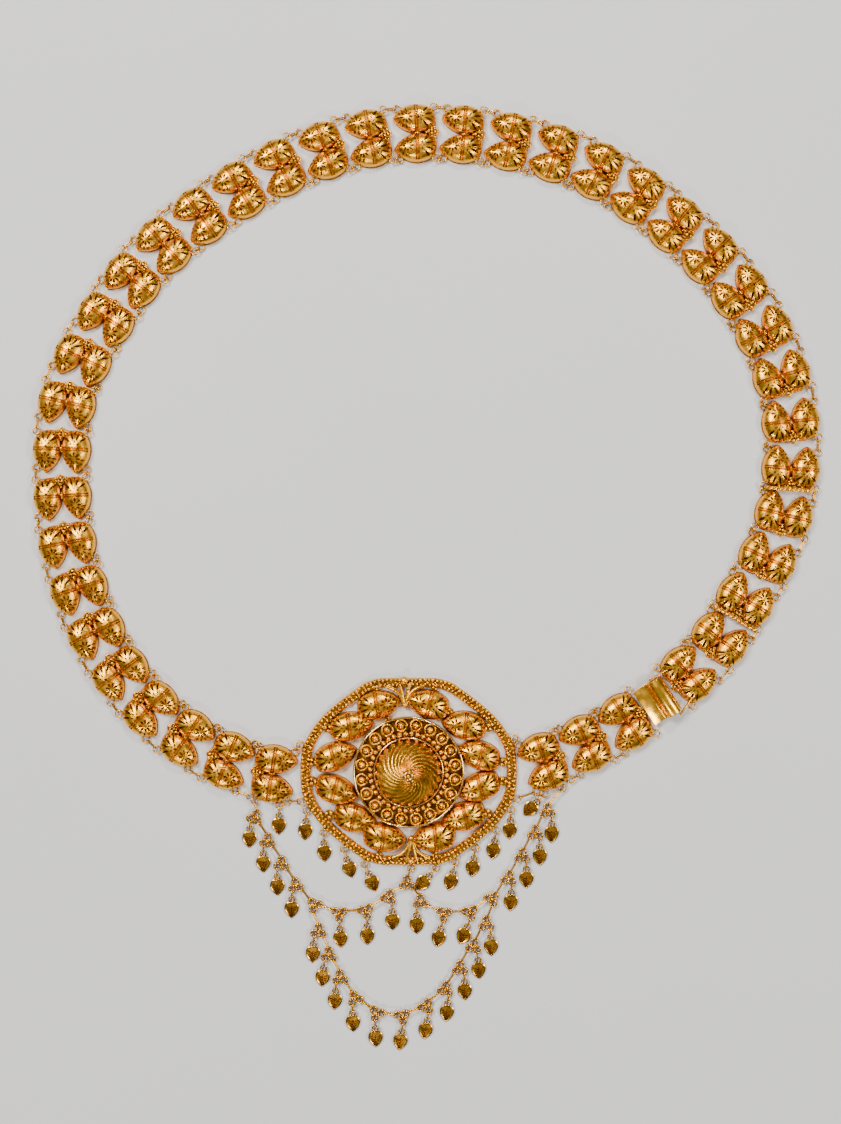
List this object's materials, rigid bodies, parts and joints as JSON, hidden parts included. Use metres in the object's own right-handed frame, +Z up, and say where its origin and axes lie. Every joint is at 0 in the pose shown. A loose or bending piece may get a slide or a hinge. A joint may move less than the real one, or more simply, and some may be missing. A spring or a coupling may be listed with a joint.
{
  "type": "link belt",
  "caption": "Gold link belt for the hips: hollow leaf box links, oval medallion, trefoil swags with leaf drops, and a sheet hook closing on a strip bail.",
  "frame": {"origin": "middle of the belt's bounding box, on the surface that the back plates lie on", "axes": "+Z up, away from the back plates; +Y from the medallion and swags to the back of the waist; +X to the side of the clasp"},
  "size_m": [0.2842, 0.3402, 0.0146],
  "materials": {
    "link_gold": "satin yellow gold sheet with diamond cut facets, darker in its recesses",
    "hook_sheet": "link as the others, with a polished smooth gold sheet hook",
    "medallion_gold": "satin yellow gold with bright granules and fluted boss",
    "trefoil_gold": "bright coiled gold wire",
    "drop_gold": "engraved flat sheet, duller, with bright cut edges",
    "wire_gold": "bright drawn gold wire"
  },
  "bodies": {
    "root": {"link_01": "link_gold", "link_02": "link_gold", "link_03": "link_gold", "link_04": "link_gold", "link_05": "link_gold", "link_06": "link_gold", "link_07": "link_gold", "link_08": "link_gold", "link_09": "link_gold", "link_10": "link_gold", "link_11": "link_gold", "link_12": "link_gold", "link_13": "link_gold", "link_14": "link_gold", "link_15": "link_gold", "link_16": "link_gold", "link_17": "link_gold", "link_18": "link_gold", "link_19": "link_gold", "link_20": "link_gold", "link_21": "link_gold", "link_22": "link_gold", "link_23": "link_gold", "link_24": "link_gold", "link_25": "link_gold", "link_26": "link_gold", "link_27": "link_gold", "link_28": "link_gold", "link_29": "link_gold", "link_30": "link_gold", "link_31": "link_gold", "link_32": "link_gold", "bar_link_1": "link_gold", "link_34": "link_gold", "link_35": "link_gold", "bar_link_2": "link_gold", "link_37": "link_gold", "bail_link": "link_gold", "link_39": "link_gold", "link_40": "link_gold", "hook_link": "hook_sheet", "medallion": "medallion_gold", "rings_outer": "wire_gold", "rings_inner": "wire_gold", "swag_left": "trefoil_gold", "swag_right": "trefoil_gold", "swag_lower": "trefoil_gold", "joins_left": "wire_gold", "joins_right": "wire_gold", "joins_lower": "wire_gold", "drops_left": "drop_gold", "drops_right": "drop_gold", "drops_lower": "drop_gold", "drops_medallion": "drop_gold", "joins_medallion": "wire_gold"}
  },
  "joints": []
}
